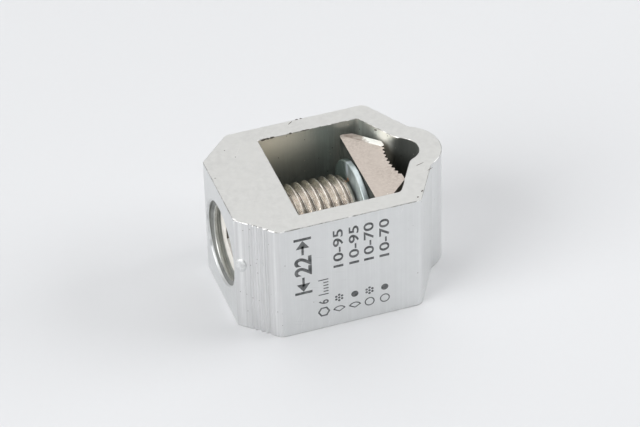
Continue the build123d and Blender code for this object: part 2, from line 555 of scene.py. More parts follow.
def nearness(tree, place_mm, near, far, keep=(1, 1, 0)):
    """1 within the near distance of a place, falling to 0 at the far one, in millimetres along the kept axes."""
    flat = put(tree, "ShaderNodeVectorMath", {0: object_place(tree), 1: keep}, operation="MULTIPLY")[0]
    centre = tuple(value * share * MM for value, share in zip(place_mm, keep))
    away = put(tree, "ShaderNodeVectorMath", {0: flat, 1: centre}, operation="DISTANCE")["Value"]
    values = {"Value": away, "From Min": far * MM, "From Max": near * MM}
    return put(tree, "ShaderNodeMapRange", values, interpolation_type="SMOOTHSTEP")[0]


def beyond(tree, axis, low, high, wander, scale, contrast):
    """0 up to a low place on an axis and 1 from a high one, with a border that wanders, in metres."""
    drift = calculate(tree, "MULTIPLY", mottle(tree, scale, contrast), wander)
    place = calculate(tree, "ADD", object_axes(tree)[axis], drift)
    return put(tree, "ShaderNodeMapRange", {"Value": place, "From Min": low, "From Max": high})[0]


def new_material(name, roughness, metallic=1.0):
    """A material of this roughness and metallic, and its node tree."""
    material = bpy.data.materials.new(name)
    material.use_nodes = True
    values = {"Roughness": roughness, "Metallic": metallic}
    feed(material.node_tree, material.node_tree.nodes["Principled BSDF"], values)
    return material, material.node_tree


def finished(material, base, **inputs):
    """Gives a material's shader its base colour and other inputs, and returns the material."""
    tree = material.node_tree
    feed(tree, tree.nodes["Principled BSDF"], {"Base Color": base, **inputs})
    return material


def two_tone(name, roughness, metallic, mottling, low, high):
    """A material mottled between two colours, at a scale and contrast."""
    material, tree = new_material(name, roughness, metallic)
    return finished(material, blend(tree, mottle(tree, *mottling), low, high))


# Places of painted light, in millimetres: shade in the seat, a warm reflection in the far corner and a highlight on
# the far flank of the window, and the washer's highlight streak
SEAT_SHADE_PLACE = (11.9, 0.0, 0.0)
WARM_REFLECTION_PLACE = (-8.7, 10.3, 21.5)
FLANK_HIGHLIGHT_PLACE = (10.0, 4.7, 21.5)
WASHER_HIGHLIGHT_PLACE = (0.0, 2.3, 18.2)


def sawn_material(settings):
    light = settings.sawn_colour
    material, tree = new_material("sawn_aluminium", 0.5)
    blotch = mottle(tree, 190.0, 3.0)
    base = layers(
        tree,
        shade(light, 0.94),
        (blotch, light),
        (mottle(tree, 1100.0, 3.0), shade(light, 1.03)),
        (scratches(tree, 0.35, 0.4, 0.0), shade(light, 0.8)),
        (scratches(tree, -1.0, 0.25, 0.0), shade(light, 1.25)),
        (specks(tree, 480.0, 0.1, 0.2), (0.28, 0.26, 0.24)),
    )
    grain = bump(tree, mottle(tree, 4200.0, 2.0), 0.008)
    return finished(material, base, Roughness=span(tree, blotch, 0.46, 0.58), Normal=grain)


def extruded_material(name, light, streak, pitting):
    """Extruded aluminium: streaks along Z down to a share of its colour, with a share of pits."""
    material, tree = new_material(name, 0.42)
    base = blend(tree, mottle(tree, 700.0, 3.0), light, shade(light, 0.95))
    base = blend(tree, die_lines(tree, 2600.0, 0.01), shade(light, streak), base)
    base = blend(tree, die_lines(tree, 1100.0, 0.02), shade(light, streak), base)
    base = layers(
        tree,
        base,
        (scratches(tree, 0.25, 0.35, 1.0), shade(light, 0.72)),
        (scratches(tree, -1.25, 0.35, 1.0), shade(light, 1.12)),
        (specks(tree, 1300.0, 0.15, pitting), (0.45, 0.44, 0.43)),
    )
    roughness = span(tree, mottle(tree, 420.0, 2.5), 0.36, 0.5)
    grain = calculate(tree, "ADD", mottle(tree, 1800.0, 2.0), die_lines(tree, 2600.0, 0.05))
    return finished(material, base, Roughness=roughness, Normal=bump(tree, grain, 0.012))


def drawn_material(settings):
    return extruded_material("drawn_aluminium", settings.drawn_colour, 0.90, 0.04)


def grooved_material(settings):
    return extruded_material("grooved_aluminium", shade(settings.drawn_colour, 1.2), 0.70, 0.4)


def knocked_material(settings):
    """The metal of the dent, bruised and matt."""
    light = settings.drawn_colour
    tones = shade(light, 0.76), shade(light, 0.98)
    return two_tone("knocked_aluminium", 0.55, 0.8, (1500.0, 3.0), *tones)


def rim_wear_and_glint_material():
    material, tree = new_material("worn_rim", 0.38)
    base = blend(tree, mottle(tree, 1300.0, 5.0), (0.40, 0.40, 0.38), (0.66, 0.66, 0.65))
    # the mottled base is the rim's wear; the near-white specks are painted glints
    return finished(material, blend(tree, specks(tree, 620.0, 0.34, 0.3), base, (0.96, 0.96, 0.95)))


def window_material(settings):
    """Extruded aluminium of the window: dull, with painted shade in the seat, a painted warm reflection in the far
    corner and a painted highlight on the far flank.
    """
    light = settings.window_colour
    material, tree = new_material("window_aluminium", 0.36, 0.85)
    lines = die_lines(tree, 2200.0, 0.05)
    # mask of the painted highlight on the far flank, which also makes the metal there less metallic
    flank_highlight = nearness(tree, FLANK_HIGHLIGHT_PLACE, 0.6, 2.9)
    base = blend(tree, mottle(tree, 240.0, 3.0), shade(light, 0.75), light)
    base = layers(
        tree,
        blend(tree, lines, shade(light, 0.7), base),
        # painted shade in the seat of the V, where the light hardly reaches
        (nearness(tree, SEAT_SHADE_PLACE, 3.3, 4.7), shade(light, 0.42)),
        # painted warm reflection near the top of the window's far corner
        (nearness(tree, WARM_REFLECTION_PLACE, 0.0, 12.0, (1, 1, 0.8)), (0.99, 0.975, 0.875)),
        # painted highlight on the far flank, near its top edge
        (flank_highlight, (0.99, 0.96, 0.87)),
        (specks(tree, 900.0, 0.12, 0.3), (0.95, 0.92, 0.82)),
        (specks(tree, 1300.0, 0.14, 0.25), (0.16, 0.15, 0.13)),
    )
    return finished(material, base, Metallic=span(tree, flank_highlight, 0.85, 0.15), Normal=bump(tree, lines, 0.02))


def tapped_material(name, low, high):
    """The cut metal of the hole's thread, between two greys."""
    material, tree = new_material(name, 0.42, 0.7)
    dark, light = (tuple(Vector((0.98, 1.0, 0.95)) * level) for level in (low, high))
    base = layers(tree, dark, (mottle(tree, 600.0, 3.0), light), (turning_marks(tree, 6000.0, 0.1), light))
    return finished(material, base)


def screw_material():
    material, tree = new_material("screw_plating", 0.24)
    streaks = turning_marks(tree, 5200.0, 0.1)
    base = blend(tree, mottle(tree, 500.0, 3.5), (0.56, 0.46, 0.40), (0.92, 0.80, 0.74))
    base = layers(
        tree,
        blend(tree, streaks, (0.37, 0.345, 0.31), base),
        (turning_marks(tree, 9000.0, 0.15), (0.88, 0.86, 0.80)),
        (specks(tree, 1500.0, 0.20, 0.12), (0.22, 0.18, 0.14)),
    )
    return finished(material, base, Normal=bump(tree, streaks, 0.02))


def screw_end_material():
    tones = (0.80, 0.76, 0.69), (0.94, 0.92, 0.88)
    return two_tone("screw_end", 0.55, 0.35, (500.0, 3.0), *tones)


def crest_material():
    tones = (0.52, 0.46, 0.40), (0.88, 0.84, 0.78)
    return two_tone("thread_crests", 0.28, 1.0, (1500.0, 4.0), *tones)


def screw_shade_material():
    """Painted shade: the dark colour given to the thread's roots and to the socket walls that face away from the
    light.
    """
    tones = (0.05, 0.045, 0.035), (0.24, 0.21, 0.18)
    return two_tone("screw_shade", 0.5, 0.6, (900.0, 3.0), *tones)


def washer_material():
    """Zinc that goes from painted shade on the +Y side to bright round the axis, with a painted highlight streak above
    it.
    """
    material, tree = new_material("washer_zinc", 0.34, 0.6)
    base = layers(
        tree,
        blend(tree, mottle(tree, 500.0, 3.5), (0.50, 0.57, 0.57), (0.72, 0.79, 0.80)),
        # painted shade over the +Y side of the washer
        (beyond(tree, "Y", 0.0012, 0.0042, 0.0018, 700.0, 2.5), (0.17, 0.22, 0.20)),
        # painted highlight streak on the washer's face
        (nearness(tree, WASHER_HIGHLIGHT_PLACE, 0.1, 1.1, (0, 1, 0.5)), (0.86, 0.94, 1.0)),
        (scratches(tree, 1.0, 0.5, 1.0), (0.85, 0.9, 0.92)),
    )
    return finished(material, base)


def jaw_material():
    material, tree = new_material("jaw_plating", 0.33)
    base = layers(
        tree,
        (0.46, 0.40, 0.355),
        (mottle(tree, 260.0, 2.5), (0.58, 0.515, 0.465)),
        (mottle(tree, 2400.0, 3.0), (0.61, 0.545, 0.49)),
        (specks(tree, 900.0, 0.12, 0.25), (0.9, 0.86, 0.8)),
    )
    return finished(material, base, Normal=bump(tree, mottle(tree, 3000.0, 2.0), 0.01, 0.6))


def jaw_facet_reflection_material():
    """Painted reflection on the rolled-over facet: bright towards the teeth, where it mirrors the bright flank, and
    brown towards the back of the jaw, where it mirrors the window wall.
    """
    bright = (0.98, 0.97, 0.94)
    material, tree = new_material("jaw_edge", 0.45, 0.3)
    brown = blend(tree, mottle(tree, 900.0, 3.0), (0.30, 0.24, 0.20), (0.52, 0.46, 0.42))
    return finished(material, blend(tree, beyond(tree, "X", 0.0087, 0.0094, 0.0012, 1200.0, 2.0), brown, bright))


def jaw_back_shade_material():
    # painted shade: the back face, hidden between jaw and washer, is made nearly black
    tones = (0.02, 0.024, 0.02), (0.07, 0.075, 0.065)
    return two_tone("jaw_back", 0.6, 0.4, (500.0, 3.0), *tones)


# The body: which finish each face has follows from where it lies

SAWN, DRAWN, WINDOW, RIM, GROOVED, KNOCKED = range(6)
# Limits of a face's normal for a sawn end, a rim and the grooved chamfer, and where that ends along X, in millimetres
SAWN_NORMAL, RIM_NORMAL, CHAMFER_NORMAL, GROOVED_UNTIL = 0.97, 0.2, -0.1, -13.0
# A rim's reach in bevel widths, how near a vertex is to a line of its bevel, and the least turn of a sharp rim
RIM_REACH, LINE_MARGIN, RIM_TURN = 4, 0.1, 40
# Wear in millimetres, its change from place to place, and chips where coarser noise passes a limit
WEAR_DEPTH, WEAR_CHANGE, WEAR_SCALE = 0.025, 0.03, 1700
CHIP_LIMIT, CHIP_GAIN, CHIP_SCALE, CHIP_SHIFT = 0.28, 0.5, 800, Vector((3, 5, 7))
# The wear that the shortest edges keep, as a share
SHORT_EDGE_WEAR = 0.2
# The dent's place in millimetres, its half width and half length as shares of its size, and its turns in degrees
DENT_PLACE, DENT_SHARES, DENT_TURNS = (-18.1, -8.7, 12.7), (0.34, 0.46), (45, 15)
# How far from the dent's ball a vertex may lie, in radii
ON_BALL = 0.02


def end_distance(z):
    """How far a height is from the nearer sawn end."""
    return min(abs(z - BODY_LOW.z), abs(z - BODY_HIGH.z))


def finish_of(face, rim_width):
    """The slot of a body face: sawn end, worn rim, wall of the window, grooved chamfer or extruded side."""
    if abs(face.normal.z) > SAWN_NORMAL:
        return SAWN
    if abs(face.normal.z) > RIM_NORMAL and end_distance(face.center.z) < rim_width:
        return RIM
    if face.center.xy.dot(face.normal.xy) < 0:
        return WINDOW
    before_shoulder = face.center.y < 0 and face.center.x < GROOVED_UNTIL * MM
    return GROOVED if before_shoulder and face.normal.y < CHAMFER_NORMAL else DRAWN


def sawn_rims(mesh):
    """The sharp edges that lie in the planes of the two sawn ends."""
    return [
        edge
        for edge in mesh.edges
        if all(end_distance(vert.co.z) < 0.001 * MM for vert in edge.verts)
        and len(edge.link_faces) == 2
        and edge.calc_face_angle(0) > radians(RIM_TURN)
    ]


def edit_rims(body, wanted):
    """Opens the body in edit mode with the wanted ones of its rims selected."""
    mesh = edit(body)
    bpy.ops.mesh.select_mode(type="EDGE")
    bpy.ops.mesh.select_all(action="DESELECT")
    for edge in sawn_rims(mesh):
        edge.select = wanted(edge)
    bmesh.update_edit_mesh(body.data)


def divide_rims(body, step):
    """Divides the rims of the sawn ends into pieces of about one step."""
    mesh = edit(body)
    counts = {int(edge.calc_length() / step) for edge in sawn_rims(mesh)}
    close_edit()
    for count in sorted(counts, reverse=True):
        if count > 1:
            edit_rims(body, lambda edge: int(edge.calc_length() / step) == count)
            bpy.ops.mesh.subdivide(number_cuts=count - 1)
            close_edit()


def wear_at(place, share):
    """How far a rim is worn back at a place: a little everywhere, with some larger chips."""
    wear = WEAR_DEPTH + WEAR_CHANGE * noise.noise(place * WEAR_SCALE)
    wear += CHIP_GAIN * max(0.0, noise.noise(place * CHIP_SCALE + CHIP_SHIFT) - CHIP_LIMIT)
    return max(0.0, wear) * share * MM


def wear_rims(body, width, step):
    """Breaks the rims with a bevel, then wears its lines back unevenly."""
    edit_rims(body, lambda edge: True)
    bpy.ops.transform.edge_bevelweight(value=1.0)
    close_edit()
    evenly = {"use_clamp_overlap": False, "loop_slide": False}
    apply_modifier(body, "BEVEL", width=width, segments=2, limit_method="WEIGHT", **evenly)
    mesh = edit(body)
    reach = (1 + LINE_MARGIN) * width
    moves = []
    for vert in mesh.verts:
        depth = end_distance(vert.co.z)
        if depth > reach:
            continue
        outward = Vector((vert.normal.x, vert.normal.y, 0)).normalized()
        inward = Vector((0, 0, 1 if vert.co.z < AXIS_HEIGHT else -1))
        near = [edge for edge in vert.link_edges if end_distance(edge.other_vert(vert).co.z) < reach]
        shortest = min(edge.calc_length() for edge in near)
        wear = wear_at(vert.co, min(1.0, shortest / step + SHORT_EDGE_WEAR))
        back = 0 if depth > (1 - LINE_MARGIN) * width else 1
        down = 0 if depth < LINE_MARGIN * width else 1
        moves.append((vert, inward * wear * down - outward * wear * back))
    for vert, move in moves:
        vert.co += move
    bmesh.update_edit_mesh(body.data)
    close_edit()


def dent_place(size, height):
    """The place, turn and half sizes of the dent, as a matrix that makes it from a ball of radius 1."""
    half_width, half_length = (size * share for share in DENT_SHARES)
    about_z, about_x = (Matrix.Rotation(radians(turn), 4, axis) for turn, axis in zip(DENT_TURNS, "ZX"))
    stretch = Matrix.Diagonal((height, half_width, half_length, 1))
    return Matrix.Translation(Vector(DENT_PLACE) * MM) @ (about_z @ about_x) @ stretch


def raise_dent(body, size, height):
    """Raises the smooth lump that a knock left on the grooved chamfer."""
    ball = add(bpy.ops.mesh.primitive_uv_sphere_add, segments=40, ring_count=20, radius=1.0)
    set_down(ball, dent_place(size, height))
    combine(body, ball, "UNION")


class CLAMP_OT_body(bpy.types.Operator):
    """Adds the extruded body, with worn rims, a dent and its finishes"""

    bl_idname = "clamp.body"
    bl_label = "Add body"

    def execute(self, context):
        settings = context.scene.clamp.body
        body = node_copy("clamp_body", "extruded_body", join_flats=False)
        raise_dent(body, settings.dent_size, settings.dent_height)
        divide_rims(body, settings.wear_step)
        wear_rims(body, settings.edge_break, settings.wear_step)
        to_ball = dent_place(settings.dent_size, settings.dent_height).inverted()

        def slot_of(face):
            corners = [to_ball @ body.data.vertices[index].co for index in face.vertices]
            on_dent = all(abs(corner.length - 1) < ON_BALL for corner in corners)
            return KNOCKED if on_dent else finish_of(face, RIM_REACH * settings.edge_break)

        materials = [
            sawn_material(settings),
            drawn_material(settings),
            window_material(settings),
            rim_wear_and_glint_material(),
            grooved_material(settings),
            knocked_material(settings),
        ]
        dress(body, materials, slot_of)
        smooth_by_angle(body, crease_slots=(SAWN, KNOCKED))
        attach(body, "body")
        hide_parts("clamp_body")
        return {"FINISHED"}


# Threads: a 60 degree profile, whose depth in the hole and on the screw is a share of the pitch

FLANK_ANGLE = radians(30)
HOLE_THREAD_SHARE, SCREW_THREAD_SHARE, CREST_PARTS = 0.45, 0.6134, 8
# The slots of the tapped sleeve, with their darkest and lightest grey
TAPPED_FINISHES = (
    ("tapped_mouth", 0.16, 0.27),
    ("tapped_crests", 0.36, 0.48),
    ("tapped_edges", 0.44, 0.60),
    ("tapped_depth", 0.40, 0.56),
)
MOUTH, CRESTS, EDGES, DEPTH = range(4)


def thread_period(centre_x, pitch, crest_radius, root_radius, crest_width, root_break):
    """One pitch of thread as (x, radius) points, with its crest at centre_x and a chamfer in its roots."""
    foot = crest_width / 2 + (crest_radius - root_radius) * tan(FLANK_ANGLE)
    half = [
        (pitch / 2, root_radius),
        (foot + root_break, root_radius),
        (foot - root_break * sin(FLANK_ANGLE), root_radius + root_break * cos(FLANK_ANGLE)),
        (crest_width / 2, crest_radius),
    ]
    left = [(centre_x - x, radius) for x, radius in half]
    return left + [(centre_x + x, radius) for x, radius in reversed(half)]


def helix(name, profile, pitch, turns, steps):
    """Winds one pitch of profile about the X axis as a right-hand thread."""
    obj = draw_line(name, profile)
    wind(obj, steps, 0.001, screw_offset=pitch, iterations=turns)
    edit_all(obj)
    bpy.ops.mesh.remove_doubles(threshold=0.001 * MM)
    close_edit()
    return obj


def threaded_rod(name, thread, low_x, high_x, crest_radius, root_radius, crest_width, root_break):
    """A closed threaded rod about the X axis between two square ends."""
    pitch = thread.pitch
    first = int(low_x / pitch) - 2
    turns = int((high_x - low_x) / pitch) + 5
    profile = thread_period(first * pitch, pitch, crest_radius, root_radius, crest_width, root_break)
    rod = helix(name, profile, pitch, turns, thread.steps)
    cut(rod, (low_x, 0, 0), (1, 0, 0), keep_above=True)
    cut(rod, (high_x, 0, 0), (1, 0, 0))
    recalculate(rod)
    return rod


def axis_distance(face):
    """How far the middle of a face is from the screw axis."""
    return hypot(face.center.y, face.center.z - AXIS_HEIGHT)


def tapped_finish(face, thread, minor_radius):
    """The slot of a sleeve face: the darker mouth, a crest, the edge of a crest or the lighter thread further in."""
    tilt = abs(face.normal.x)
    if axis_distance(face) < minor_radius + 1.2 * thread.edge_break and tilt <= 0.7:
        return CRESTS if tilt < 0.2 else EDGES
    return MOUTH if face.center.x - BODY_LOW.x < thread.darker_depth else DEPTH


class CLAMP_OT_hole_thread(bpy.types.Operator):
    """Adds the thread of the hole, a tapped sleeve seated in the bore of the body"""

    bl_idname = "clamp.hole_thread"
    bl_label = "Add hole thread"

    def execute(self, context):
        thread = context.scene.clamp.thread
        body = context.scene.clamp.body
        minor = THREAD_RADIUS - HOLE_THREAD_SHARE * thread.pitch
        back = BODY_LOW.x + body.threaded_wall - thread.sleeve_inset
        front = BODY_LOW.x + thread.sleeve_inset + thread.lead_depth
        seat = body.hole_radius + thread.sleeve_seat
        inside = minor - thread.sleeve_seat
        section = [(front, seat), (front + (seat - inside) / 2, inside), (back, inside), (back, seat)]
        sleeve = turned("hole_thread", section, thread.steps, closed=True)
        tap_crest = THREAD_RADIUS + thread.flank_gap
        tap_width = thread.pitch / CREST_PARTS + 2 * thread.flank_gap / cos(FLANK_ANGLE)
        tap_width -= 2 * (thread.flank_gap + thread.crest_drop) * tan(FLANK_ANGLE)
        spare = 2 * thread.pitch
        ends = front - spare, back + spare
        tap = threaded_rod("tap", thread, *ends, tap_crest, minor, tap_width, thread.edge_break)
        combine(sleeve, tap, "DIFFERENCE")
        recalculate(sleeve)
        lift_to_axis(sleeve)
        materials = [tapped_material(*finish) for finish in TAPPED_FINISHES]
        dress(sleeve, materials, lambda face: tapped_finish(face, thread, minor))
        smooth_by_angle(sleeve)
        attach(sleeve, "body")
        return {"FINISHED"}


# The screw, with lengths in millimetres: how far the rod stands out of its blank at the ends and round it, the
# spigot's start inside the thread, the round of its head, and the least radius of a root
ROD_SPARE, BLANK_SPARE, SPIGOT_ROOT, HEAD_ROUND, LEAST_ROOT = 0.437, 0.1, 1.5, 0.35, 5.9
# How far the key that cuts the socket stands out of it, and how deep the drill's cylinder overlaps it
KEY_REACH, DRILL_OVERLAP = 1.0, 0.2
# SHADED is the slot of painted shade
FLANKS, END_FACE, SCREW_CRESTS, SHADED = range(4)


def corner_radius(flats):
    """The radius of a hexagon's corners, from its width across flats."""
    return flats / 2 / cos(radians(30))


def screw_finish(face, thread):
    """The material slot of a screw face: flank, end face or socket wall painted lit, crest, or root or socket wall
    painted in shade.
    """
    radius = axis_distance(face)
    depth = face.center.x - SCREW_LOW.x
    in_socket = radius < 1.05 * corner_radius(thread.socket_flats) and depth < thread.socket_depth + 0.1 * MM
    # socket walls that face up are painted lit with the end finish, the others are painted in shade
    if in_socket and face.normal.x > -0.5:
        return END_FACE if face.normal.z > 0.3 else SHADED
    if in_socket or (face.normal.x < -0.6 and depth < thread.end_chamfer):
        return END_FACE
    if radius > THREAD_RADIUS - 2 * thread.crest_drop:
        return SCREW_CRESTS
    # the flat roots of the thread are painted in shade
    in_root = abs(face.normal.x) < 0.3 and radius > LEAST_ROOT * MM and face.center.x < thread.shoulder_x
    return SHADED if in_root else FLANKS


def screw_blank(thread):
    """The solid that gives the screw its chamfered ends."""
    low, high = SCREW_LOW.x, thread.shoulder_x
    outer = THREAD_RADIUS + BLANK_SPARE * MM
    slim = THREAD_RADIUS - thread.end_chamfer
    reach = outer - slim
    points = [(low, 0), (low, slim), (low + reach, outer), (high - reach, outer), (high, slim), (high, 0)]
    return turned("blank", points)


def riveted_spigot(thread):
    """The spigot with its riveted head, which starts inside the threaded part."""
    start_x = thread.shoulder_x - SPIGOT_ROOT * MM
    head_x, end_x = SCREW_HIGH.x - thread.head_thickness, SCREW_HIGH.x
    head, edge = thread.head_radius, HEAD_ROUND * MM
    points = [
        (start_x, 0),
        (start_x, thread.spigot_radius),
        (head_x, thread.spigot_radius),
        (head_x, head),
        (end_x - edge, head),
        (end_x - edge * 0.3, head - edge * 0.3),
        (end_x, head - edge),
        (end_x, 0),
    ]
    return turned("spigot", points, steps=64)


def socket_key(thread):
    """The hexagon bar that cuts the socket."""
    reach = KEY_REACH * MM
    radius = corner_radius(thread.socket_flats)
    key = add(bpy.ops.mesh.primitive_cylinder_add, vertices=6, radius=radius, depth=thread.socket_depth + reach)
    middle = Matrix.Translation((SCREW_LOW.x + (thread.socket_depth - reach) / 2, 0, 0))
    turn = Matrix.Rotation(thread.socket_turn, 4, "X") @ Matrix.Rotation(pi / 2, 4, "Y")
    set_down(key, middle @ turn)
    return key


def socket_drill(thread):
    """The drill whose cone is left at the bottom of the socket."""
    bottom = SCREW_LOW.x + thread.socket_depth
    start = bottom - DRILL_OVERLAP * MM
    radius = thread.socket_flats / 2
    return turned("drill", [(start, 0), (start, radius), (bottom, radius), (bottom + radius * tan(radians(30)), 0)])


class CLAMP_OT_screw(bpy.types.Operator):
    """Adds the headless screw: rolled thread, chamfered ends, hexagon socket and riveted spigot"""

    bl_idname = "clamp.screw"
    bl_label = "Add screw"

    def execute(self, context):
        thread = context.scene.clamp.thread
        crest = THREAD_RADIUS - thread.crest_drop
        root = THREAD_RADIUS - SCREW_THREAD_SHARE * thread.pitch
        spare = ROD_SPARE * MM
        ends = SCREW_LOW.x - spare, thread.shoulder_x + spare
        widths = thread.pitch / CREST_PARTS, thread.edge_break / 2
        screw = threaded_rod("threaded_screw", thread, *ends, crest, root, *widths)
        combine(screw, screw_blank(thread), "INTERSECT")
        combine(screw, riveted_spigot(thread), "UNION")
        combine(screw, socket_key(thread), "DIFFERENCE")
        combine(screw, socket_drill(thread), "DIFFERENCE")
        recalculate(screw)
        lift_to_axis(screw)
        materials = [screw_material(), screw_end_material(), crest_material(), screw_shade_material()]
        dress(screw, materials, lambda face: screw_finish(face, thread))
        smooth_by_angle(screw)
        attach(screw, "screw")
        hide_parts("clamp_screw")
        return {"FINISHED"}


# The far flank of the jaw as two (x, y) points, and the inset and drop of its rolled-over top edge, in millimetres
JAW_FLANK = ((7.086, 9.2), (10.814, 5.6))
FACET_INSET, FACET_DROP = 1.7, 0.34
JAW_TOP, JAW_FACET, JAW_BACK = range(3)


def roll_over(jaw, inset, drop):
    """Cuts the rolled-over top edge of the far flank as one shallow facet, and returns the facet's normal."""
    (x0, y0), (x1, y1) = JAW_FLANK
    outward = Vector((y0 - y1, x1 - x0, 0)).normalized()
    corner = Vector((x0, y0, 0)) * MM
    corner.z = JAW_HIGH.z
    normal = (outward * drop + Vector((0, 0, inset))).normalized()
    cut(jaw, corner - outward * inset, normal)
    return normal


def break_edges(obj, width_mm):
    """Bevels the sharp edges of a piece."""
    apply_modifier(obj, "BEVEL", width=width_mm * MM, segments=2, limit_method="ANGLE", angle_limit=radians(50))


def jaw_finish(face, facet):
    """The slot of a jaw face: plated, the facet with its painted reflection, or the back with its painted shade."""
    if face.normal.dot(facet) > 0.998:
        return JAW_FACET
    return JAW_BACK if face.normal.x < -0.9 else JAW_TOP


class CLAMP_OT_jaw_set(bpy.types.Operator):
    """Adds the pressure jaw and the thrust washer"""

    bl_idname = "clamp.jaw_set"
    bl_label = "Add jaw and washer"

    def execute(self, context):
        jaw = node_copy("pressure_jaw", "toothed_jaw")
        facet = roll_over(jaw, FACET_INSET * MM, FACET_DROP * MM)
        break_edges(jaw, 0.05)
        materials = [jaw_material(), jaw_facet_reflection_material(), jaw_back_shade_material()]
        dress(jaw, materials, lambda face: jaw_finish(face, facet))
        smooth_by_angle(jaw)
        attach(jaw, "jaw_set")
        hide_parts("pressure_jaw")
        washer = node_copy("thrust_washer", "zinc_washer")
        break_edges(washer, 0.02)
        dress(washer, [washer_material()])
        smooth_by_angle(washer)
        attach(washer, "jaw_set")
        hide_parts("thrust_washer")
        return {"FINISHED"}


# Marks: drawn flat in XY, with X along the reading direction, then laid on the front of the body. Places are in
# millimetres, along X of the body for the rows and along Z for their heights

ROWS = (
    (-3.4, "10-95", "sector stranded"),
    (-0.75, "10-95", "sector solid"),
    (1.75, "10-70", "round stranded"),
    (4.35, "10-70", "round solid"),
)
# The gauge, its two ends, the length of its arrow heads, half the gap for its digits and the length of these
GAUGE_PLACE, GAUGE_ENDS, GAUGE_HEAD, GAUGE_GAP, GAUGE_DIGITS = -9.3, (8.0, 19.4), 1.6, 2.3, 3.9
# The key size, with the heights of its hexagon, its digit and its ticks, then each tick's step and its share of height
KEY_PLACE, KEY_HEIGHTS = -6.0, (3.4, 5.0, 6.9)
TICKS = ((0.0, 1.0), (0.6, 0.5), (1.2, 0.5), (1.8, 0.5), (2.4, 0.5), (3.0, 1.0))
# Conductor symbols as shares of their size: the step between signs, and radii of sector, core, strands and their ring
SIGN_STEP, SECTOR_RADIUS, CORE_RADIUS, STRAND_RADIUS, RING_RADIUS = 1.35, 0.72, 0.36, 0.13, 0.33


def extent(values):
    return max(values) - min(values)


def flat_text(text, height, reach, weight=0.016):
    """Digits of a given height, stretched to a length along X if one is given, with their lower left at the origin."""
    obj = add(bpy.ops.object.text_add)
    obj.data.body = text
    obj.data.size = height
    obj.data.resolution_u = 6
    obj.data.offset = weight * height
    only(obj)
    bpy.ops.object.convert(target="MESH")
    obj = bpy.context.object
    xs, ys = ([vert.co[axis] for vert in obj.data.vertices] for axis in (0, 1))
    tall = height / extent(ys)
    wide = reach / extent(xs) if reach else tall * 0.82
    set_down(obj, Matrix.Diagonal((wide, tall, 1, 1)) @ Matrix.Translation((-min(xs), -min(ys), 0)))
    return obj


def flat_disc(radius, place=(0, 0), corners=40):
    obj = add(bpy.ops.mesh.primitive_circle_add, vertices=corners, radius=radius, fill_type="NGON")
    set_down(obj, Matrix.Translation((*place, 0)))
    return obj


def hollow(obj, width):
    """Turns a filled outline into a ring of this width."""
    edit_all(obj)
    bpy.ops.mesh.select_mode(type="FACE")
    bpy.ops.mesh.inset(thickness=width, depth=0)
    bpy.ops.mesh.delete(type="FACE")
    close_edit()
    return obj


def flat_bar(low, high):
    """A rectangle between two corners."""
    obj = add(bpy.ops.mesh.primitive_plane_add, size=1.0)
    middle = Matrix.Translation(((low[0] + high[0]) / 2, (low[1] + high[1]) / 2, 0))
    set_down(obj, middle @ Matrix.Diagonal((high[0] - low[0], high[1] - low[1], 1, 1)))
    return obj


def arrow_head(tip_x, back_x, half_width):
    """A triangle on the X axis."""
    obj = flat_bar((min(tip_x, back_x), -half_width), (max(tip_x, back_x), half_width))
    mesh = edit(obj)
    for vert in mesh.verts:
        vert.select = abs(vert.co.x - tip_x) < 0.001 * MM
    bpy.ops.mesh.merge(type="CENTER")
    close_edit()
    return obj


def sector(size):
    """The filled outline of a sector-shaped conductor: a third of a disc, about its own middle."""
    obj = flat_disc(size * SECTOR_RADIUS, corners=48)
    for side in (1, -1):
        cut(obj, (0, 0, 0), (-sin(radians(60)), side * cos(radians(60)), 0), fill=False)
    set_down(obj, Matrix.Translation((-size * SECTOR_RADIUS / 2, 0, 0)))
    return obj


def conductor_symbol(kind, size, line):
    """Two small signs in a row: the outline of a conductor, then its strands or its solid core."""
    outline = sector(size) if "sector" in kind else flat_disc(size / 2)
    signs = [hollow(outline, line)]
    place = size * SIGN_STEP
    if "solid" in kind:
        return [*signs, flat_disc(size * CORE_RADIUS, (place, 0))]
    ring = size * RING_RADIUS
    turns = [index * pi / 3 for index in range(6)]
    centres = [(place, 0), *((place + ring * cos(turn), ring * sin(turn)) for turn in turns)]
    return signs + [flat_disc(size * STRAND_RADIUS, centre, 12) for centre in centres]


def lay_on_front(pieces, x, z, thickness):
    """Thickens flat pieces and lays them on the front of the body, reading upwards from x and z."""
    turn = Matrix(((0, -1, 0), (0, 0, -1), (1, 0, 0))).to_4x4()
    for piece in pieces:
        apply_modifier(piece, "SOLIDIFY", thickness=2 * thickness, offset=0.0)
        recalculate(piece)
        set_down(piece, Matrix.Translation((x, BODY_LOW.y, z)) @ turn @ piece.matrix_world)
    return pieces


def gauge_pieces(marks, reach):
    """The strip gauge from the origin along X: two end lines, two arrows and the gap for its digits."""
    line, half, head = marks.gauge_line, marks.gauge_line * 0.4, GAUGE_HEAD * MM
    end = (GAUGE_ENDS[1] - GAUGE_ENDS[0]) * MM
    low_gap, high_gap = (end / 2 + side * GAUGE_GAP * MM for side in (-1, 1))
    return [
        flat_bar((0, -reach), (line, reach)),
        flat_bar((end - line, -reach), (end, reach)),
        arrow_head(line, head + line, head * 0.7),
        arrow_head(end - line, end - line - head, head * 0.7),
        flat_bar((head, -half), (low_gap, half)),
        flat_bar((high_gap, -half), (end - head, half)),
    ]


def ink_material(settings):
    material, tree = new_material("mark_ink", 0.55, 0.0)
    faint = calculate(tree, "MULTIPLY", mottle(tree, 1500.0, 5.0), 0.45)
    return finished(material, blend(tree, faint, settings.ink_colour, settings.worn_colour))


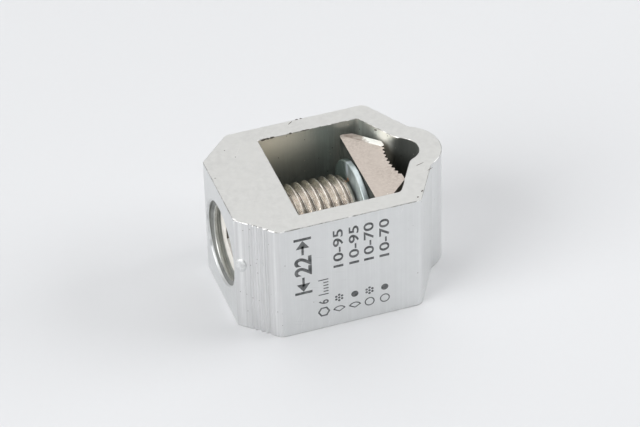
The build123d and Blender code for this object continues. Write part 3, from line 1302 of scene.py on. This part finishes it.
class CLAMP_OT_marks(bpy.types.Operator):
    """Prints plain size rows, conductor symbols, a strip gauge and the key size on the front"""

    bl_idname = "clamp.marks"
    bl_label = "Add marks"

    def execute(self, context):
        marks = context.scene.clamp.marks
        ink, digit_half = marks.ink_thickness, marks.digit_height / 2
        pieces = []
        for place, text, kind in ROWS:
            row = [flat_text(text, marks.digit_height, marks.row_length)]
            pieces += lay_on_front(row, place * MM + digit_half, marks.row_end - marks.row_length, ink)
            symbol = conductor_symbol(kind, marks.symbol_size, marks.line_width)
            pieces += lay_on_front(symbol, place * MM, marks.symbol_height, ink)
        reach = marks.gauge_size / 2
        pieces += lay_on_front(gauge_pieces(marks, reach), GAUGE_PLACE * MM, GAUGE_ENDS[0] * MM, ink)
        digits = flat_text("22", marks.gauge_size, GAUGE_DIGITS * MM, 0.03)
        start = (sum(GAUGE_ENDS) - GAUGE_DIGITS) / 2 * MM
        pieces += lay_on_front([digits], GAUGE_PLACE * MM + reach, start, ink)
        hexagon_z, digit_z, ticks_z = (height * MM for height in KEY_HEIGHTS)
        hexagon = hollow(flat_disc(marks.digit_height * 0.62, corners=6), marks.line_width * 1.4)
        pieces += lay_on_front([hexagon], KEY_PLACE * MM, hexagon_z, ink)
        digit = flat_text("6", marks.digit_height, 0)
        pieces += lay_on_front([digit], KEY_PLACE * MM + digit_half, digit_z, ink)
        ticks = [
            flat_bar((step * MM, 0), (step * MM + marks.line_width, marks.digit_height * share))
            for step, share in TICKS
        ]
        pieces += lay_on_front(ticks, KEY_PLACE * MM + digit_half, ticks_z, ink)
        printed = joined(pieces, "printed_marks")
        dress(printed, [ink_material(marks)])
        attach(printed, "body")
        return {"FINISHED"}


# Burrs, specks and rust: each is an uneven lump, half sunk in what carries it

# x and y on the top sawn end, then length, width and height, the turn in degrees and whether it is dark
BURRS = (
    (-7.75, 10.22, 0.9, 0.34, 0.16, 12, True),
    (-7.05, 10.24, 0.6, 0.3, 0.12, -8, True),
    (-6.3, 10.26, 0.8, 0.3, 0.14, 5, True),
    (-3.15, 10.3, 0.5, 0.26, 0.12, 0, True),
    (-0.6, 10.3, 1.3, 0.16, 0.08, 0, True),
    (2.6, 10.3, 0.9, 0.14, 0.08, 0, False),
    (-2.31, 12.99, 1.0, 0.12, 0.05, 35, True),
    (-1.04, 13.5, 0.5, 0.16, 0.08, 0, True),
    (-0.3, 13.52, 0.4, 0.14, 0.08, 0, True),
    (10.1, 6.3, 0.5, 0.22, 0.1, -40, True),
    (10.43, -12.63, 0.34, 0.26, 0.06, 0, True),
    (11.6, -11.4, 0.5, 0.22, 0.06, 40, True),
    (-14.57, 9.7, 0.18, 0.14, 0.04, 0, True),
    (-13.44, 7.44, 0.16, 0.14, 0.04, 0, True),
    (-18.2, 3.26, 0.22, 0.16, 0.04, 0, True),
    (14.75, -6.51, 1.1, 0.1, 0.04, 25, True),
    (13.71, -4.72, 1.4, 0.1, 0.04, 15, True),
    (-18.6, -7.75, 0.7, 0.22, 0.1, -60, False),
    (-14.9, -11.75, 0.8, 0.3, 0.1, -45, False),
    (-12.2, -13.4, 0.5, 0.2, 0.08, 0, False),
)
RUST_PLACE, RUST_SIZE, RUST_SEED = (1.85, 16.29), (0.1, 0.62, 0.66), 3


def lump(place, size, turn, seed, material):
    """A small uneven lump at a place, with its size given along and across its turn and upwards."""
    obj = add(bpy.ops.mesh.primitive_ico_sphere_add, subdivisions=3, radius=0.5)
    edit_all(obj)
    bpy.ops.transform.vertex_random(offset=0.09, uniform=0.3, normal=0.8, seed=seed)
    close_edit()
    set_down(obj, Matrix.Translation(place) @ turn @ Matrix.Diagonal((*size, 1)))
    obj.data.materials.append(material)
    smooth_by_angle(obj, 50)
    return obj


class CLAMP_OT_burrs(bpy.types.Operator):
    """Adds the burrs and specks of the top sawn end, and the rust spot on the washer"""

    bl_idname = "clamp.burrs"
    bl_label = "Add burrs and rust"

    def execute(self, context):
        mottling = (3500.0, 3.0)
        # dark lumps: real dark scuffs and specks, and along the window's far rim painted shade that stands for pits
        dark = two_tone("dark_burr", 0.4, 0.5, mottling, (0.04, 0.035, 0.03), (0.16, 0.14, 0.12))
        bright = two_tone("bright_burr", 0.4, 1.0, mottling, (0.75, 0.75, 0.74), (0.97, 0.97, 0.96))
        pieces = []
        for index, (x, y, reach, width, height, turn, is_dark) in enumerate(BURRS):
            place = Vector((x * MM, y * MM, BODY_HIGH.z))
            size = Vector((reach, width, 2 * height)) * MM
            spin = Matrix.Rotation(radians(turn), 4, "Z")
            pieces.append(lump(place, size, spin, index + 1, dark if is_dark else bright))
        burrs = joined(pieces, "rim_burrs")
        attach(burrs, "body")
        brown = two_tone("rust", 0.8, 0.0, (5000.0, 3.0), (0.42, 0.17, 0.06), (0.78, 0.42, 0.18))
        place = Vector((WASHER_LOW.x, RUST_PLACE[0] * MM, RUST_PLACE[1] * MM))
        rust = lump(place, Vector(RUST_SIZE) * MM, Matrix.Identity(4), RUST_SEED, brown)
        rust.name = "rust_spot"
        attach(rust, "jaw_set")
        return {"FINISHED"}


# Stage: each softbox with its place, its aim and the size of its sides, in metres. Its power is a setting

SOFTBOXES = (
    ("top", (0.1, 0.55, 1.05), (0, 0.1, 0), (1.9, 1.5)),
    ("left", (-0.72, -0.2, 0.47), (0, 0, 0.01), (0.6, 0.6)),
    ("front", (-0.15, -0.85, 0.8), (0, 0, 0.01), (0.7, 0.7)),
    ("right", (0.6, -0.1, 0.33), (0, 0, 0.01), (0.42, 0.42)),
)
FLOOR_SIZE = 6.0
# The X and Y that the camera aims at, in millimetres
CAMERA_AIM = (-1.2566, 1.7097)


def camera_frame(stage):
    """The line of sight, and the camera's right and up directions with its roll."""
    level_share = cos(stage.elevation)
    across, ahead = sin(stage.azimuth) * level_share, cos(stage.azimuth) * level_share
    sight = Vector((across, ahead, -sin(stage.elevation)))
    level = sight.cross(Vector((0, 0, 1))).normalized()
    upright = level.cross(sight)
    right = level * cos(stage.roll) + upright * sin(stage.roll)
    return sight, right, right.cross(sight)


def add_softbox(name, place, aim, size, watts):
    """A rectangular light that faces its aim."""
    light = add(bpy.ops.object.light_add, name, place, type="AREA")
    light.rotation_euler = (Vector(aim) - Vector(place)).to_track_quat("-Z", "Y").to_euler()
    light.data.shape = "RECTANGLE"
    light.data.size, light.data.size_y = size
    light.data.energy = watts


def floor_material(rgb):
    material, tree = new_material("floor_paper", 0.9, 0.0)
    grain = blend(tree, mottle(tree, 900.0, 1.5), shade(rgb, 0.99), rgb)
    return finished(material, grain, **{"Specular IOR Level": 0.1})


class CLAMP_OT_stage(bpy.types.Operator):
    """Adds the floor, the softboxes, the even light and the camera"""

    bl_idname = "clamp.stage"
    bl_label = "Add stage"

    def execute(self, context):
        stage = context.scene.clamp.stage
        scene = context.scene
        floor = add(bpy.ops.mesh.primitive_plane_add, "floor", size=FLOOR_SIZE)
        floor.data.materials.append(floor_material(stage.floor_colour))
        world = bpy.data.worlds.new("studio")
        world.use_nodes = True
        light = {"Color": (1.0, 1.0, 1.0, 1.0), "Strength": stage.world_level}
        feed(world.node_tree, world.node_tree.nodes["Background"], light)
        scene.world = world
        for side, place, aim, size in SOFTBOXES:
            add_softbox(side + "_softbox", place, aim, size, getattr(stage, side + "_watts"))
        sight, right, up = camera_frame(stage)
        aim = Vector((CAMERA_AIM[0] * MM, CAMERA_AIM[1] * MM, AXIS_HEIGHT))
        place = aim - sight * stage.distance
        camera = add(bpy.ops.object.camera_add, location=place)
        turn = Matrix((right, up, -sight)).transposed()
        camera.matrix_world = Matrix.Translation(place) @ turn.to_4x4()
        camera.data.sensor_width = 36.0
        camera.data.lens = stage.lens
        camera.data.clip_start = 0.01
        scene.camera = camera
        scene.view_settings.view_transform = "Standard"
        return {"FINISHED"}


class CLAMP_PT_pieces(bpy.types.Panel):
    """Lists the pieces of the clamp"""

    bl_label = "Cable clamp"
    bl_idname = "CLAMP_PT_pieces"
    bl_space_type = "VIEW_3D"
    bl_region_type = "UI"
    bl_category = "Cable clamp"

    def draw(self, context):
        for operator in OPERATORS:
            self.layout.operator(operator.bl_idname)


OPERATORS = (
    CLAMP_OT_body,
    CLAMP_OT_hole_thread,
    CLAMP_OT_screw,
    CLAMP_OT_jaw_set,
    CLAMP_OT_marks,
    CLAMP_OT_burrs,
    CLAMP_OT_stage,
)
CLASSES = (
    ClampBodySettings,
    ClampThreadSettings,
    ClampMarkSettings,
    ClampStageSettings,
    ClampSettings,
    *OPERATORS,
    CLAMP_PT_pieces,
)


def register():
    for cls in CLASSES:
        bpy.utils.register_class(cls)
    bpy.types.Scene.clamp = bpy.props.PointerProperty(type=ClampSettings)


def unregister():
    del bpy.types.Scene.clamp
    for cls in reversed(CLASSES):
        bpy.utils.unregister_class(cls)


def main():
    register()
    bpy.ops.clamp.body()
    bpy.ops.clamp.hole_thread()
    bpy.ops.clamp.screw()
    bpy.ops.clamp.jaw_set()
    bpy.ops.clamp.marks()
    bpy.ops.clamp.burrs()
    bpy.ops.clamp.stage()


if __name__ == "__main__":
    main()
